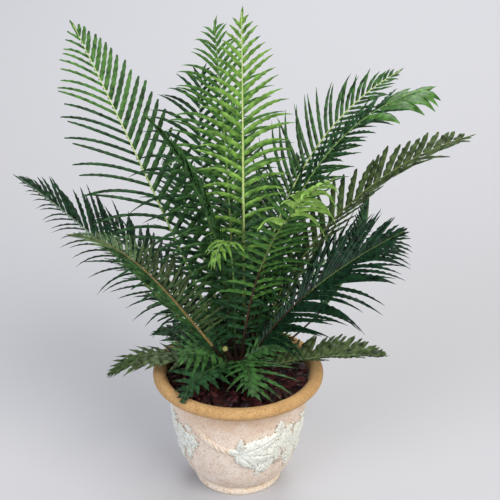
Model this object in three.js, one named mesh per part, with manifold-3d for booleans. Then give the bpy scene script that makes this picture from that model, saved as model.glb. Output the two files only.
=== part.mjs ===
// Dwarf tree fern in a garland pot. Millimetres, +Z up, origin at the centre of the pot's flat underside.
// The front of the plant faces -Y. Angles are in degrees, and a turn of 0 points along +X.
import * as THREE from "three";
import { mergeVertices } from "three/addons/utils/BufferGeometryUtils.js";
import Module from "manifold-3d";

const wasm = await Module();
wasm.setup();

// Clearances
const seatGap = 0.3; // between pieces that meet
const leafGap = 0.6; // a leaflet keeps this far from other fronds, the trunk and the pot
const weld = 1e-3; // corners nearer than this are one

// Pot: an urn body on a foot ring, with a rolled rim
const potSides = 36;
const footRadius = 63;
const footRing = { radius: 67, from: 3, to: 9 };
const groove = { radius: 65, height: 13 };
const body = { from: 17, to: 174, lowRadius: 67, highRadius: 102, swell: 0.58 };
const bodyHeights = [17, 26, 40, 56, 72, 90, 106, 122, 138, 156, 174];
const rim = { radius: 119.5, height: 183, width: 10, depth: 9.5, from: -120, to: 180, steps: 7 };
const wall = { topRadius: 97, topHeight: 171, midRadius: 86, midHeight: 62, floorRadius: 60, floor: 14 };

// Garland moulded round the body: ropes that fall to wide bunches of leaves and fruit
const garland = { repeats: 3, start: 230, ropeShare: 1 / 3 };
const ropeBand = { high: 131, low: 100, half: 9, proud: 2 };
const bunchBand = { high: 97, low: 97, half: 33, proud: 3.5 };
const skinDepth = 1; // a corner that lies this near the body's radius is on its outside

// Potting mix: a plug up to the rim's lip, with a nearly level top that the trunk stands on
const mixTop = 182;
const mixEdgeDrop = 1.5;
const mixSeatRadius = 44;

// Trunk: a short scaly stub that flares at the soil and ends in a domed crown
const trunkSides = 16;
const trunkProfile = [
  [37, 0],
  [32, 5],
  [29, 11],
  [27, 18],
  [23, 25],
  [15, 30.5],
];
const trunkHeight = 33;
const cutStub = { seat: [-10, -12, 206], turn: 233, rise: 64, length: 36, radius: 4.4, taper: 0.9, sides: 8 };

// Fronds grow from four rings of seats on the trunk, old ones low and young ones high
const tiers = {
  inner: { radius: 9, height: 211 },
  middle: { radius: 19, height: 202 },
  outer: { radius: 23, height: 191 },
  skirt: { radius: 25, height: 190 },
};
const frontSeat = { radius: 15, height: 212 }; // the skirt's front fronds hang from the crown's top

// Turn and rise aim a frond's foot, arch and sway bend it, reach is its longest leaflet.
// Fold lifts both rows of leaflets, roll turns the blade about its rib, droop hangs the leaflets' tips.
// Pitch is a leaflet's angle to the rib. The leaflets start at a share of the rib and are longest at another.
// A high tip power keeps them long until near the tip, a high foot power until near the foot, and foot share
// is how long the lowest ones are. The row values change one row each, the left one first.
const frondDefaults = {
  sway: 0,
  bend: 1.5,
  roll: 0,
  fold: 10,
  droop: 0.25,
  pitchFoot: 78,
  pitchTip: 30,
  start: 0.12,
  longestAt: 0.5,
  tipPower: 1.6,
  footShare: 0.3,
  footPower: 2,
  rowPitch: [1, 1],
  rowReach: [1, 1],
  rowFold: [0, 0],
};
const skirtDefaults = { fold: 0, droop: 0.14, pitchFoot: 66, pitchTip: 28, tipPower: 2, footShare: 0.6 };
const frondRows = {
  inner: [
    {
      seat: 0, turn: 95, rise: 89, arch: 6, length: 540, reach: 94, droop: 0.42, longestAt: 0.62,
      footShare: 0.15, footPower: 1.1,
    },
    { seat: 105, turn: 105, rise: 82, arch: 16, length: 510, reach: 118, tipPower: 2, droop: 0.5 },
    {
      seat: 180, turn: 186, rise: 88, arch: 38, length: 430, reach: 64, fold: 40, droop: 0.05,
      pitchFoot: 32, pitchTip: 10,
    },
    {
      seat: 300, turn: 318, rise: 82, arch: 46, length: 405, reach: 72, roll: -30, droop: 0.35,
      pitchFoot: 84, pitchTip: 52, tipPower: 2.4,
    },
    { seat: 240, turn: 258, rise: 90, arch: 140, bend: 3, length: 325, reach: 62, droop: 0.5 },
  ],
  middle: [
    {
      seat: 148, turn: 146, rise: 62, arch: 10, sway: -10, length: 560, reach: 126, roll: -30, droop: 0.3,
      pitchFoot: 74, tipPower: 2, rowReach: [1, 0.86],
    },
    { seat: 120, turn: 134, rise: 76, arch: 18, sway: -60, length: 450, reach: 135, droop: 0.5, tipPower: 2 },
    {
      seat: 212, turn: 212, rise: 57, arch: 44, bend: 4, length: 390, reach: 80, roll: 50, fold: 0,
      rowPitch: [1, 0.35],
    },
    {
      seat: 334, turn: 344, rise: 72, arch: 37, bend: 0.55, length: 350, reach: 128, roll: 35,
      droop: 0.35, start: 0.1, footShare: 0.6, pitchFoot: 66, pitchTip: 18, tipPower: 1.3,
      rowPitch: [0.88, 0.8], rowReach: [1.1, 1.3],
    },
    {
      seat: 357, turn: 8, rise: 72, arch: 60, bend: 1.4, length: 505, reach: 68, fold: 9, droop: 0.1,
      tipPower: 2.6, rowFold: [19, -19], rowPitch: [1, 0.42], rowReach: [1, 1.2],
    },
    {
      seat: 18, turn: 13, rise: 80, arch: 77, bend: 2.2, length: 540, reach: 76, tipPower: 6, pitchTip: 48,
      rowPitch: [0.6, 1], rowReach: [0.85, 1],
    },
    {
      seat: 40, turn: 28, rise: 82, arch: 68, bend: 1.8, length: 526, reach: 106, roll: 28, droop: 0.2,
      pitchFoot: 88, rowReach: [1.05, 0.95],
    },
    { seat: 66, turn: 64, rise: 62, arch: 30, length: 340, reach: 95 },
    { seat: 92, turn: 92, rise: 58, arch: 30, length: 430, reach: 100 },
  ],
  outer: [
    {
      seat: 162, turn: 164, rise: 46, arch: 14, length: 430, reach: 122, roll: -15, droop: 0.35,
      tipPower: 1.35, rowPitch: [1, 0.8], rowReach: [0.65, 1.1],
    },
    { seat: 348, turn: 352, rise: 18, arch: 18, length: 210, reach: 52, fold: 28, droop: 0.05 },
    {
      seat: 14, turn: 3, rise: 34, arch: -60, bend: 1.3, length: 350, reach: 40, fold: 55, droop: 0,
      start: 0.4, tipPower: 4,
    },
    { seat: 40, turn: 44, rise: 42, arch: 34, length: 310, reach: 90 },
    { seat: 64, turn: 68, rise: 44, arch: 26, length: 280, reach: 85 },
    { seat: 88, turn: 88, rise: 32, arch: 30, length: 330, reach: 90 },
    { seat: 112, turn: 112, rise: 46, arch: 24, length: 380, reach: 90 },
    { seat: 136, turn: 136, rise: 40, arch: 30, length: 340, reach: 90 },
  ],
  skirt: [
    { seat: 186, turn: 187, rise: 30, arch: 76, length: 190, reach: 54 },
    {
      ...frontSeat, seat: 196, turn: 204, rise: 38, arch: 56, length: 88, reach: 58, roll: -20,
      pitchFoot: 96,
    },
    {
      ...frontSeat, seat: 236, turn: 232, rise: 8, arch: 90, bend: 3.5, length: 130, reach: 74,
      longestAt: 0.4, footShare: 0.7, tipPower: 1, rowReach: [0.65, 1], pitchFoot: 110, pitchTip: 40,
    },
    {
      ...frontSeat, seat: 280, turn: 284, rise: 24, arch: 80, length: 98, reach: 74, rowReach: [1.15, 0.65],
      pitchFoot: 92, tipPower: 1.1,
    },
    {
      ...frontSeat, seat: 300, turn: 350, rise: 40, arch: 20, length: 76, reach: 56, roll: 45, droop: 0.05,
      pitchFoot: 52, pitchTip: 18,
    },
    { seat: 60, turn: 60, rise: 35, arch: 60, length: 130, reach: 55 },
    { seat: 108, turn: 108, rise: 32, arch: 66, length: 150, reach: 55 },
    { seat: 150, turn: 150, rise: 36, arch: 62, length: 130, reach: 55 },
  ],
};

// Rib of a frond, square in section
const ribSteps = 32;
const ribWidth = { base: 2, perLength: 1 / 180, tip: 2.2 };
const ribHeightShare = 0.9;
const ribSag = 0.9; // most that a straight stretch of the rib strays from its curve
const arcSag = 1 / 8; // sag of a shallow arc, as a share of its length times its bend
const fewestStretches = 4;
const ribEnd = 0.985;

// Leaflets: set in two rows
const leafletSpacing = 30;
const fewestPairs = 6;
const leafletsTo = 0.95;
const rowSides = [
  { side: 1, phase: 0.25 },
  { side: -1, phase: 0.75 },
]; // the two rows alternate along the rib
const leafletWidth = 0.62; // share of the spacing along the rib
const leafletThickness = { share: 0.013, least: 1.2 };
const keelShare = 0.6;
const leafletTrials = [1, 0.8, 0.6];
const terminalLeaf = { from: 0.93, width: 0.35 };

// Finishes
const finishes = {
  pot: { color: 0xdcc8b4, roughness: 0.9 },
  potting_mix: { color: 0x3a1d1a, roughness: 0.95 },
  trunk: { color: 0x2a1d14, roughness: 0.95 },
  inner: { color: 0x7fae45, roughness: 0.55 },
  middle: { color: 0x4c7f3c, roughness: 0.55 },
  outer: { color: 0x2f5a3c, roughness: 0.55 },
  skirt: { color: 0x3c5f34, roughness: 0.55 },
};

const { degToRad, lerp } = THREE.MathUtils;
const up = new THREE.Vector3(0, 0, 1);

// A closed surface as a solid: shared corners merged, collapsed faces dropped
function solidOf(geometry) {
  geometry.deleteAttribute("normal");
  geometry.deleteAttribute("uv");
  const merged = mergeVertices(geometry, weld);
  const index = merged.index.array;
  const kept = [];
  for (let i = 0; i < index.length; i += 3) {
    const [a, b, c] = index.slice(i, i + 3);
    if (a !== b && b !== c && c !== a) {
      kept.push(a, b, c);
    }
  }
  const vertProperties = Float32Array.from(merged.attributes.position.array);
  const triVerts = Uint32Array.from(kept);
  return new wasm.Manifold(new wasm.Mesh({ numProp: 3, vertProperties, triVerts }));
}

// Moves every corner of a geometry to place(corner)
function reshape(geometry, place) {
  const position = geometry.attributes.position;
  const corner = new THREE.Vector3();
  for (let i = 0; i < position.count; i++) {
    const moved = place(corner.fromBufferAttribute(position, i));
    position.setXYZ(i, moved.x, moved.y, moved.z);
  }
  return geometry;
}

// The main body alone, so that a sealed hollow is filled and a loose scrap is dropped
function mainBody(solid) {
  return solid.decompose().reduce((main, other) => (other.volume() > main.volume() ? other : main));
}

function latheGeometry(profile, sides) {
  const points = profile.map(([radius, height]) => new THREE.Vector2(radius, height));
  return new THREE.LatheGeometry(points, sides).rotateX(Math.PI / 2);
}

function meshOf(name, solid, finish) {
  const { numProp, vertProperties, triVerts } = solid.getMesh();
  const geometry = new THREE.BufferGeometry();
  geometry.setAttribute("position", new THREE.BufferAttribute(vertProperties, numProp));
  geometry.setIndex(new THREE.BufferAttribute(triVerts, 1));
  geometry.computeVertexNormals();
  const mesh = new THREE.Mesh(geometry, new THREE.MeshStandardMaterial({ ...finish, metalness: 0 }));
  mesh.name = name;
  return mesh;
}

function bodyRadius(height) {
  const share = THREE.MathUtils.clamp((height - body.from) / (body.to - body.from), 0, 1);
  return lerp(body.lowRadius, body.highRadius, Math.sin((Math.PI / 2) * share ** body.swell));
}

// How far the garland stands out of the body
function garlandProud(turn, height) {
  const period = 360 / garland.repeats;
  const share = THREE.MathUtils.euclideanModulo(turn - garland.start, period) / period;
  const onRope = share < garland.ropeShare;
  const fall = Math.sin((Math.PI / 2) * Math.min(share / garland.ropeShare, 1));
  const { high, low, half, proud } = onRope ? ropeBand : bunchBand;
  const middle = lerp(high, low, fall);
  const off = Math.min(1, Math.abs(height - middle) / half);
  return proud * Math.cos((Math.PI / 2) * off);
}

function potSolid() {
  const roll = new THREE.EllipseCurve(
    rim.radius, rim.height, rim.width, rim.depth, degToRad(rim.from), degToRad(rim.to));
  const shell = latheGeometry(
    [
      [0, 0],
      [footRadius, 0],
      [footRing.radius, footRing.from],
      [footRing.radius, footRing.to],
      [groove.radius, groove.height],
      ...bodyHeights.map((height) => [bodyRadius(height), height]),
      ...roll.getPoints(rim.steps).map((point) => [point.x, point.y]),
      [wall.topRadius, wall.topHeight],
      [wall.midRadius, wall.midHeight],
      [wall.floorRadius, wall.floor],
      [0, wall.floor],
    ],
    potSides,
  );
  return solidOf(
    reshape(shell, (corner) => {
      const { x, y, z } = corner;
      const outside = z > body.from && z < body.to && Math.hypot(x, y) > bodyRadius(z) - skinDepth;
      const outward = new THREE.Vector3(x, y, 0).normalize();
      const turn = THREE.MathUtils.radToDeg(Math.atan2(y, x));
      return corner.addScaledVector(outward, outside ? garlandProud(turn, z) : 0);
    }),
  );
}

function mixSolid() {
  const edge = mixTop - mixEdgeDrop;
  const lipShare = (edge - wall.topHeight) / (rim.height - wall.topHeight);
  const lipRadius = lerp(wall.topRadius, rim.radius - rim.width, lipShare);
  const plug = latheGeometry(
    [
      [0, wall.floor + seatGap],
      [wall.floorRadius - seatGap, wall.floor + seatGap],
      [wall.midRadius - 2 * seatGap, wall.midHeight],
      [wall.topRadius - 2 * seatGap, wall.topHeight],
      [lipRadius - 2 * seatGap, edge],
      [mixSeatRadius, mixTop],
      [0, mixTop],
    ],
    potSides,
  );
  return solidOf(plug);
}

// Stub of a cut frond, or the stub grown by a margin
function stubSolid(margin) {
  const { seat, turn, rise, length, radius, taper, sides } = cutStub;
  const bar = new THREE.CylinderGeometry(radius * taper + margin, radius + margin, length + margin, sides);
  bar.translate(0, (length + margin) / 2, 0);
  bar.rotateZ(degToRad(rise - 90));
  bar.rotateX(Math.PI / 2);
  bar.rotateZ(degToRad(turn));
  return solidOf(bar.translate(...seat));
}

// The trunk, or the trunk grown by a margin all round
function trunkSolid(margin) {
  const foot = mixTop + seatGap;
  const stem = latheGeometry(
    [
      [0, foot - margin],
      [trunkProfile[0][0] + margin, foot - margin],
      ...trunkProfile.slice(1).map(([radius, height]) => [radius + margin, foot + height]),
      [0, foot + trunkHeight + margin],
    ],
    trunkSides,
  );
  return solidOf(stem).add(stubSolid(margin));
}

// Directions of a frond at a share of its length: along the rib, across the blade and out of its face
function ribAxes(frond, share) {
  const bent = share ** frond.bend;
  const rise = degToRad(frond.rise - frond.arch * bent);
  const turn = degToRad(frond.turn + frond.sway * bent);
  const roll = degToRad(frond.roll);
  const along = new THREE.Vector3(
    Math.cos(rise) * Math.cos(turn), Math.cos(rise) * Math.sin(turn), Math.sin(rise));
  const level = new THREE.Vector3(-Math.sin(turn), Math.cos(turn), 0);
  const above = along.clone().cross(level);
  const across = level.clone().multiplyScalar(Math.cos(roll)).addScaledVector(above, Math.sin(roll));
  return { along, across, face: along.clone().cross(across) };
}

function ribPoint(frond, share) {
  const seat = degToRad(frond.seat);
  const point = new THREE.Vector3(frond.radius * Math.cos(seat), frond.radius * Math.sin(seat), frond.height);
  const step = (share * frond.length) / ribSteps;
  for (let i = 0; i < ribSteps; i++) {
    point.addScaledVector(ribAxes(frond, (share * (i + 0.5)) / ribSteps).along, step);
  }
  return point;
}

// Points that the rib's straight stretches join
function ribStations(frond) {
  const bending = degToRad(Math.abs(frond.arch) + Math.abs(frond.sway)) * frond.bend;
  const sag = arcSag * frond.length * bending;
  const stretches = Math.max(fewestStretches, Math.ceil(Math.sqrt(sag / ribSag)));
  return Array.from({ length: stretches + 1 }, (_, i) => ribPoint(frond, (i / stretches) * ribEnd));
}

// Point on the rib's straight stretches at a share of the frond's length
function onRib(frond, share) {
  const stretches = frond.stations.length - 1;
  const place = (share / ribEnd) * stretches;
  const first = Math.min(Math.floor(place), stretches - 1);
  return frond.stations[first].clone().lerp(frond.stations[first + 1], place - first);
}

function ribSolid(frond) {
  const thick = ribWidth.base + ribWidth.perLength * frond.length;
  const bar = new THREE.CylinderGeometry(1, 1, 1, 4, frond.stations.length - 1, false, Math.PI / 4);
  return solidOf(
    reshape(bar, (corner) => {
      const share = (corner.y + 0.5) * ribEnd;
      const { across, face } = ribAxes(frond, share);
      const half = lerp(thick, ribWidth.tip, share) * Math.SQRT1_2;
      return onRib(frond, share)
        .addScaledVector(across, -corner.x * half)
        .addScaledVector(face, corner.z * half * ribHeightShare);
    }),
  );
}

// Share of the longest leaflet that a leaflet at this share of the rib has
function leafletShare(frond, share) {
  const { longestAt, tipPower, footShare, footPower } = frond;
  if (share > longestAt) {
    return 1 - ((share - longestAt) / (1 - longestAt)) ** tipPower;
  }
  return 1 - (1 - footShare) * ((longestAt - share) / longestAt) ** footPower;
}

// A three-sided blade that tapers from its foot on the rib to a drooping tip, with a keel under it
function bladeSolid(root, direction, along, face, length, droop, width) {
  const thickness = Math.max(leafletThickness.least, leafletThickness.share * length);
  const turned = Math.sign(direction.clone().cross(along).dot(face));
  const tip = root.clone().addScaledVector(direction, length).addScaledVector(up, -droop * length);
  const cone = new THREE.ConeGeometry(1, 1, 3, 1);
  return solidOf(
    reshape(cone, (corner) => {
      if (corner.y > 0) {
        return tip;
      }
      const aside = (turned * corner.x * width) / 2 / Math.sin(Math.PI / 3);
      const lift = corner.z > 0 ? -keelShare : -corner.z * (1 - keelShare) * 2;
      return root.clone().addScaledVector(along, aside).addScaledVector(face, lift * thickness);
    }),
  );
}

function pairsOf(frond) {
  return Math.max(fewestPairs, Math.round(frond.length / leafletSpacing));
}

function leafletSolid(frond, share, row, trial) {
  const { side } = rowSides[row];
  const { along, across, face } = ribAxes(frond, share);
  const spacing = (frond.length * (leafletsTo - frond.start)) / pairsOf(frond);
  const pitch = degToRad(lerp(frond.pitchFoot, frond.pitchTip, share) * frond.rowPitch[row]);
  const fold = degToRad(frond.fold + frond.rowFold[row]);
  const outward = across.multiplyScalar(side * Math.cos(fold)).addScaledVector(face, Math.sin(fold));
  const direction = along.clone().multiplyScalar(Math.cos(pitch)).addScaledVector(outward, Math.sin(pitch));
  const length = frond.reach * frond.rowReach[row] * leafletShare(frond, share) * trial;
  const droop = frond.droop * (1 - direction.z ** 2); // an upright leaflet hangs less
  return bladeSolid(onRib(frond, share), direction, along, face, length, droop, leafletWidth * spacing);
}

// The leaf that ends the rib
function terminalSolid(frond) {
  const { across, face } = ribAxes(frond, terminalLeaf.from);
  const root = onRib(frond, terminalLeaf.from);
  const reach = ribPoint(frond, 1).sub(root);
  const length = reach.length();
  return bladeSolid(root, reach.normalize(), across, face, length, 0, terminalLeaf.width * length);
}

function near(a, b) {
  return a.min.every((low, i) => low - leafGap < b.max[i] && b.min[i] - leafGap < a.max[i]);
}

function isClear(solid, others) {
  const box = solid.boundingBox();
  return others.every((other) => !near(box, other.box) || solid.minGap(other.solid, leafGap) >= leafGap);
}

// The fullest leaflet that keeps clear of the other limbs, or none
function fittedLeaflet(frond, share, row, others) {
  return leafletTrials
    .map((trial) => leafletSolid(frond, share, row, trial))
    .find((leaflet) => isClear(leaflet, others));
}

const fronds = Object.entries(frondRows).flatMap(([tier, rows]) =>
  rows.map((row, i) => ({
    ...frondDefaults,
    ...(tier === "skirt" ? skirtDefaults : {}),
    ...tiers[tier],
    ...row,
    tier,
    name: `frond_${tier}_${i + 1}`,
  })),
);
fronds.forEach((frond) => {
  frond.stations = ribStations(frond);
});

const pot = potSolid();
const mix = mixSolid();
const trunk = trunkSolid(0);
const trunkClearance = trunkSolid(seatGap);
const ribs = fronds.map((frond) => ribSolid(frond).subtract(trunkClearance));

const boxed = (solid, owner) => ({ solid, owner, box: solid.boundingBox() });
const placed = [boxed(pot), boxed(mix), boxed(trunk), ...ribs.map((rib, i) => boxed(rib, i))];

function frondSolid(frond, number) {
  const others = placed.filter((other) => other.owner !== number);
  const pairs = pairsOf(frond);
  const leaflets = [terminalSolid(frond)];
  rowSides.forEach(({ phase }, row) => {
    for (let i = 0; i < pairs; i++) {
      const share = lerp(frond.start, leafletsTo, (i + phase) / pairs);
      const leaflet = fittedLeaflet(frond, share, row, others);
      if (leaflet) {
        leaflets.push(leaflet);
      }
    }
  });
  leaflets.forEach((leaflet) => placed.push(boxed(leaflet, number)));
  return mainBody(leaflets.reduce((whole, leaflet) => whole.add(leaflet), ribs[number]));
}

const fern = new THREE.Group();
fern.add(meshOf("pot", pot, finishes.pot));
fern.add(meshOf("potting_mix", mix, finishes.potting_mix));
fern.add(meshOf("trunk", trunk, finishes.trunk));
fronds.forEach((frond, number) => {
  fern.add(meshOf(frond.name, frondSolid(frond, number), finishes[frond.tier]));
});

export default fern;
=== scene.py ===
# Potted dwarf tree fern: fine leaflets, trunk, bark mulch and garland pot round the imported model
import math

import bpy
import numpy as np
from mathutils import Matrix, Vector


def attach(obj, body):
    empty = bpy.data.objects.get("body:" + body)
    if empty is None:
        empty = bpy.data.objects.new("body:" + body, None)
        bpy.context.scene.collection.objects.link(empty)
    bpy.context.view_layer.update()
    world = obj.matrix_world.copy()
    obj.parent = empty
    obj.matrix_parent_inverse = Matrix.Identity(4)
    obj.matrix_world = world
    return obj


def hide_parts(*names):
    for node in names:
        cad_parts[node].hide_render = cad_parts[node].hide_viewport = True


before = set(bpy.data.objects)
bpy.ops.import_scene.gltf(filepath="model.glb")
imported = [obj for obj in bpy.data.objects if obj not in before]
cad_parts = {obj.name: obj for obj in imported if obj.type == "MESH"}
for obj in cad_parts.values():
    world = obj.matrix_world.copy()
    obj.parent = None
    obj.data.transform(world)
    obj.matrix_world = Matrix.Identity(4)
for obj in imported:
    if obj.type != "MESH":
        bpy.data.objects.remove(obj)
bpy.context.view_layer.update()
mm = 0.001  # sizes below are in millimetres, angles in degrees
onAxis = 0.01  # the radius at which a turned outline ends
print("frame loaded:", len(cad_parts), "nodes")


# colours and shader nodes

def toLinear(hexColour):
    levels = [int(hexColour[at:at + 2], 16) / 255 for at in (1, 3, 5)]
    linear = [level / 12.92 if level <= 0.04045 else ((level + 0.055) / 1.055) ** 2.4 for level in levels]
    return linear + [1.0]


def perMetre(size):  # pattern scale for a feature of this size
    return 1 / (size * mm)


def addNode(tree, kind, settings=None, links=None):
    node = tree.nodes.new("ShaderNode" + kind)
    for name, value in (settings or {}).items():
        if name == "ramp":
            ramp = node.color_ramp.elements
            while len(ramp) < len(value):
                ramp.new(0.5)
            for element, (place, colour) in zip(ramp, value):
                element.position = place
                element.color = toLinear(colour)
        elif isinstance(name, int) or name in node.inputs:
            node.inputs[name].default_value = value
        else:
            setattr(node, name, value)
    for name, source in (links or {}).items():
        tree.links.new(source, node.inputs[name])
    return node


def newMaterial(name, surface):
    material = bpy.data.materials.new(name)
    material.use_nodes = True
    tree = material.node_tree
    shader = tree.nodes["Principled BSDF"]
    for socket, value in surface.items():
        shader.inputs[socket].default_value = value
    place = addNode(tree, "TexCoord").outputs["Object"]
    return material, tree, shader, place


def colourAndBump(tree, shader, tint, tones, height, look):
    ramp = list(zip(look["levels"], tones))
    colour = addNode(tree, "ValToRGB", {"ramp": ramp}, {"Fac": tint})
    bump = addNode(tree, "Bump", look["bump"], {"Height": height})
    tree.links.new(colour.outputs["Color"], shader.inputs["Base Color"])
    tree.links.new(bump.outputs["Normal"], shader.inputs["Normal"])


# fern leaflet with a satin cuticle: soft dull gloss, cloudy green, a fine ripple of veins
leafLook = {
    "surface": {"Roughness": 0.42, "IOR": 1.45, "Specular IOR Level": 0.22},
    "cloud": {"Scale": perMetre(10), "Detail": 3},
    "vein": {"Scale": perMetre(1.4), "Detail": 2},  # under 1 mm apart, drawn wider to show
    "levels": (0.3, 0.7),
    "bump": {"Strength": 0.25, "Distance": 0.4 * mm},
}
leafTones = {
    "unfurling": ("#55802a", "#a3cc68"),
    "young": ("#30541a", "#7ea94a"),
    "fresh": ("#1f4118", "#5a8a40"),
    "grown": ("#10280f", "#447038"),
    "deep": ("#081808", "#315a35"),
    "blue": ("#030d06", "#193e24"),
    "olive": ("#1b2611", "#53673d"),
    "underside": ("#33502c", "#76925f"),
}


def fernLeaf(tone):
    material, tree, shader, place = newMaterial("fernLeaf" + tone.capitalize(), leafLook["surface"])
    cloud = addNode(tree, "TexNoise", leafLook["cloud"], {"Vector": place}).outputs["Fac"]
    vein = addNode(tree, "TexNoise", leafLook["vein"], {"Vector": place}).outputs["Fac"]
    colourAndBump(tree, shader, cloud, leafTones[tone], vein, leafLook)
    return material


# frond stalk with a waxy skin: mottled along its length, a dull shine
stalkLook = {
    "surface": {"Roughness": 0.5, "IOR": 1.45},
    "mottle": {"Scale": perMetre(4), "Detail": 4},
    "levels": (0.3, 0.7),
    "bump": {"Strength": 0.3, "Distance": 0.5 * mm},
}
stalkTones = {
    "pale": ("#9fb56a", "#c3d58e"),
    "green": ("#5d7f3f", "#7d9c55"),
    "sage": ("#5c7360", "#7b9078"),
    "olive": ("#4f5f2c", "#75834a"),
    "amber": ("#6f5a34", "#8f7a4a"),
    "brown": ("#2c1b11", "#4a3320"),
    "dark": ("#26401f", "#3f5c30"),
    "cut": ("#7d7a45", "#a49f63"),
    "scaly": ("#120b08", "#2a1a10"),
}


def fernStalk(tone):
    material, tree, shader, place = newMaterial("fernStalk" + tone.capitalize(), stalkLook["surface"])
    mottle = addNode(tree, "TexNoise", stalkLook["mottle"], {"Vector": place}).outputs["Fac"]
    colourAndBump(tree, shader, mottle, stalkTones[tone], mottle, stalkLook)
    return material


leafMaterials = {tone: fernLeaf(tone) for tone in leafTones}
stalkMaterials = {tone: fernStalk(tone) for tone in stalkTones}


# tree fern trunk, matted root fibre: dark brown, darkened further as painted shade under the crown, rough, no
# shine
fibreLook = {
    "surface": {"Roughness": 0.9, "IOR": 1.4, "Specular IOR Level": 0.1},
    "tuft": {"Scale": perMetre(2.5), "Detail": 6, "Roughness": 0.7},  # a single fibre is too fine to show
    "levels": (0.3, 0.6, 0.85),
    # brown fibre tones, made darker as painted shade
    "tones": ("#0b0706", "#21140d", "#4a3120"),
    "bump": {"Strength": 0.7, "Distance": 1.5 * mm},
}


def rootFibre():
    material, tree, shader, place = newMaterial("rootFibreMatted", fibreLook["surface"])
    tuft = addNode(tree, "TexNoise", fibreLook["tuft"], {"Vector": place}).outputs["Fac"]
    colourAndBump(tree, shader, tuft, fibreLook["tones"], tuft, fibreLook)
    return material


# pine bark mulch, chipped and moist: dark red-brown flakes with a damp shine
barkLook = {
    "surface": {"Roughness": 0.5, "IOR": 1.45, "Specular IOR Level": 0.3},
    "grain": {"Scale": perMetre(5), "Detail": 5, "Roughness": 0.65},
    "levels": (0.35, 0.7),
    "bump": {"Strength": 0.5, "Distance": 1 * mm},
}
barkTones = {
    "Fines": ("#0a0404", "#1c0c0b"),
    "Dark": ("#0b0405", "#24100f"),
    "Red": ("#210a0d", "#56262a"),
    "Brown": ("#180a0a", "#3e1f1d"),
}


def barkMulch(tone):
    material, tree, shader, place = newMaterial("barkMulch" + tone, barkLook["surface"])
    grain = addNode(tree, "TexNoise", barkLook["grain"], {"Vector": place}).outputs["Fac"]
    colourAndBump(tree, shader, grain, barkTones[tone], grain, barkLook)
    return material


# pressed terracotta under worn limewash: chalky wash over pink clay, gritty, pitted, no shine
washLook = {
    "surface": {"Roughness": 0.92, "IOR": 1.5},
    "patch": {"Scale": perMetre(14), "Detail": 6, "Roughness": 0.7},
    "grit": {"Scale": perMetre(1.8), "Detail": 2, "Roughness": 0.6},  # about 0.5 mm, drawn coarser to show
    "patchShare": 0.6,
    "levels": (0.56, 0.66, 0.92),
    "pool": {"Scale": perMetre(38), "Detail": 3},
    "pooled": {"From Min": 0.36, "From Max": 0.64, "To Max": 1.3},
    # painted shade: how far the worn colour is laid into concave hollows
    "hollowShade": {"From Min": 0.5, "From Max": 0.42, "To Max": 0.75},
    "pore": {"Scale": perMetre(4), "Detail": 1},  # about 1 mm, drawn coarser to show
    "pits": {"From Min": 0.64, "From Max": 0.74, "To Max": 0.7},
    "bump": {"Strength": 0.55, "Distance": 0.9 * mm},
}
mixFactor, mixFrom, mixTo, mixColour = 0, 6, 7, 2  # sockets of a Mix node that is set to colours


def limewashedTerracotta(finish):
    material, tree, shader, place = newMaterial(finish["name"], washLook["surface"])
    # wash worn through in patches and on single grains
    patch = addNode(tree, "TexNoise", washLook["patch"], {"Vector": place}).outputs["Fac"]
    grit = addNode(tree, "TexNoise", washLook["grit"], {"Vector": place}).outputs["Fac"]
    rough = addNode(tree, "Math", {"operation": "MULTIPLY_ADD", 1: washLook["patchShare"]},
                    {0: patch, 2: grit}).outputs["Value"]
    ramp = list(zip(washLook["levels"], (finish["wearAndShade"], finish["clay"], finish["wash"])))
    colour = addNode(tree, "ValToRGB", {"ramp": ramp}, {"Fac": rough}).outputs["Color"]
    # a water stain that grows with height and gathers in pools
    height = addNode(tree, "SeparateXYZ", {}, {"Vector": place}).outputs["Z"]
    stainLow, stainHigh = finish["stainHeights"]
    rise = addNode(tree, "MapRange", {"From Min": stainLow * mm, "From Max": stainHigh * mm},
                   {"Value": height}).outputs["Result"]
    pool = addNode(tree, "TexNoise", washLook["pool"], {"Vector": place}).outputs["Fac"]
    pooled = addNode(tree, "MapRange", washLook["pooled"], {"Value": pool}).outputs["Result"]
    soaked = addNode(tree, "Math", {"operation": "MULTIPLY"}, {0: rise, 1: pooled}).outputs["Value"]
    blotch = addNode(tree, "Math", {"operation": "MULTIPLY", "use_clamp": True},
                     {0: soaked, 1: rough}).outputs["Value"]
    # painted shade in the hollows of the relief, in the worn colour, and open pores
    hollow = addNode(tree, "NewGeometry").outputs["Pointiness"]
    hollowShade = addNode(tree, "MapRange", washLook["hollowShade"], {"Value": hollow}).outputs["Result"]
    pore = addNode(tree, "TexNoise", washLook["pore"], {"Vector": place}).outputs["Fac"]
    pits = addNode(tree, "MapRange", washLook["pits"], {"Value": pore}).outputs["Result"]
    for share, over in ((blotch, "stain"), (hollowShade, "wearAndShade"), (pits, "wearAndShade")):
        layer = addNode(tree, "Mix", {"data_type": "RGBA", mixTo: toLinear(finish[over])},
                        {mixFactor: share, mixFrom: colour})
        colour = layer.outputs[mixColour]
    depth = addNode(tree, "Math", {"operation": "SUBTRACT"}, {0: rough, 1: pits}).outputs["Value"]
    bump = addNode(tree, "Bump", washLook["bump"], {"Height": depth})
    tree.links.new(colour, shader.inputs["Base Color"])
    tree.links.new(bump.outputs["Normal"], shader.inputs["Normal"])
    return material


# mesh helpers

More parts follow.
